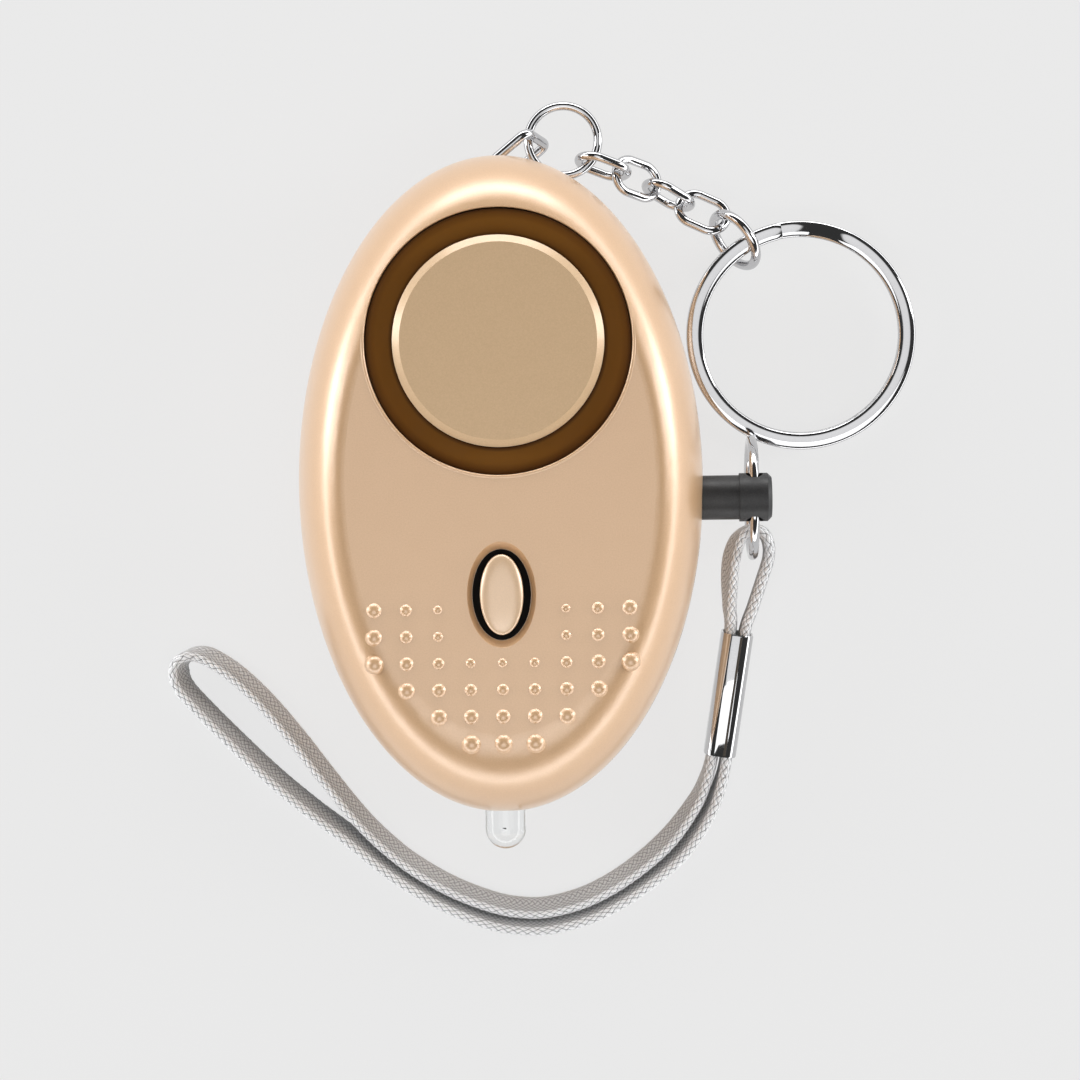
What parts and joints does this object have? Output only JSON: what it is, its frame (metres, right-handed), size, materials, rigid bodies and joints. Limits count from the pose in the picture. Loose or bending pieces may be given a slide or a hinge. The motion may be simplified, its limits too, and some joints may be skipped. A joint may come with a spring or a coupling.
{
  "type": "personal safety alarm",
  "caption": "Egg-shaped personal safety alarm with a siren disc, torch button, tail lamp, pull pin on a braided wrist strap and a split key ring on a short chain.",
  "frame": {"origin": "middle of the flat back that the alarm lies on", "axes": "+Z leaves the front face with the siren disc, +Y points to the chain end, +X to the pull pin"},
  "size_m": [0.0762, 0.0839, 0.0226],
  "materials": {
    "gold": "satin gold",
    "dark_channel": "dark bronze",
    "black": "matt",
    "grey_plastic": "matt",
    "white_plastic": "matt",
    "board": "lacquered",
    "ferrite": "sintered",
    "copper": "enamelled",
    "blue_sleeve": "sleeve",
    "red_wire": "insulated",
    "brass": "rolled",
    "steel": "plain",
    "chrome": "plated",
    "clear": "clear dome",
    "braid": "flat woven"
  },
  "bodies": {
    "casing": {"front_shell": "gold", "rear_shell": "gold", "siren_bezel": "dark_channel", "siren_disc": "gold", "tail_lamp": "clear", "battery_cover": "gold", "cover_screw": "steel", "head_bail": "chrome", "sounder_plate": "brass", "sounder_ceramic": "white_plastic", "sounder_gasket": "black", "siren_back": "grey_plastic", "push_switch": "grey_plastic", "circuit_board": "board", "coil_core": "ferrite", "coil_winding": "copper", "driver_chip": "black", "transistor": "black", "capacitor": "blue_sleeve", "chip_resistors": "grey_plastic", "lamp_leads": "steel", "cell_1": "steel", "cell_2": "steel", "cell_3": "steel", "contact_plus": "brass", "contact_minus": "brass", "case_screws": "steel", "board_screws": "steel", "pin_socket": "black", "contact_fixed": "brass", "sounder_leads": "red_wire", "battery_lead": "black"},
    "torch_button": {"torch_button": "gold", "switch_stem": "white_plastic"},
    "pull_pin": {"pin_cap": "black", "pin_shaft": "steel", "pin_ring": "chrome"},
    "contact_leaf": {"contact_leaf": "brass"},
    "strap": {"strap_cord": "braid", "strap_ferrule": "chrome"},
    "upper_ring": {"upper_ring": "chrome"},
    "link_1": {"link_1": "chrome"},
    "link_2": {"link_2": "chrome"},
    "link_3": {"link_3": "chrome"},
    "link_4": {"link_4": "chrome"},
    "lower_ring": {"lower_ring": "chrome"},
    "split_ring": {"split_ring": "chrome"}
  },
  "joints": [
    {"name": "button_press", "type": "slide", "parent": "casing", "child": "torch_button", "axis": [0, 0, -1], "range_m": [0, 0.0009], "stiffness_N_per_m": 400, "springref_m": -0.001},
    {"name": "pin_pull", "type": "slide", "parent": "casing", "child": "pull_pin", "axis": [1, 0, 0], "range_m": [0, 0.011]},
    {"name": "leaf_close", "type": "hinge", "parent": "casing", "child": "contact_leaf", "pos_m": [0.0116, -0.0027, 0.012], "axis": [0, 0, 1], "range_deg": [-20, 0]},
    {"name": "strap_swing", "type": "hinge", "parent": "pull_pin", "child": "strap", "pos_m": [0.0251, -0.0075, 0.0069], "axis": [0, 0, 1], "range_deg": [0, 40]},
    {"name": "upper_ring_swing", "type": "hinge", "parent": "casing", "child": "upper_ring", "pos_m": [0.0044, 0.0343, 0.00762], "axis": [0, 0, 1], "range_deg": [0, 30]},
    {"name": "link_1_swing", "type": "hinge", "parent": "upper_ring", "child": "link_1", "pos_m": [0.00836, 0.03259, 0.00762], "axis": [0, 0, 1], "range_deg": [0, 30]},
    {"name": "link_2_swing", "type": "hinge", "parent": "link_1", "child": "link_2", "pos_m": [0.01195, 0.03128, 0.00638], "axis": [0, 0, 1], "range_deg": [0, 8]},
    {"name": "link_3_swing", "type": "hinge", "parent": "link_2", "child": "link_3", "pos_m": [0.01527, 0.03021, 0.00437], "axis": [0, 0, 1], "range_deg": [0, 25]},
    {"name": "link_4_swing", "type": "hinge", "parent": "link_3", "child": "link_4", "pos_m": [0.01842, 0.02838, 0.00267], "axis": [0, 0, 1], "range_deg": [0, 15]},
    {"name": "lower_ring_swing", "type": "hinge", "parent": "link_4", "child": "lower_ring", "pos_m": [0.02201, 0.02671, 0.00295], "axis": [0, 0, 1], "range_deg": [0, 30]},
    {"name": "split_ring_swing", "type": "hinge", "parent": "lower_ring", "child": "split_ring", "pos_m": [0.02436, 0.02355, 0.00302], "axis": [0, 0, 1], "range_deg": [0, 8]}
  ],
  "couplings": [
    {"joint": "leaf_close", "follows": "pin_pull", "rad_per_m": -28.5}
  ]
}
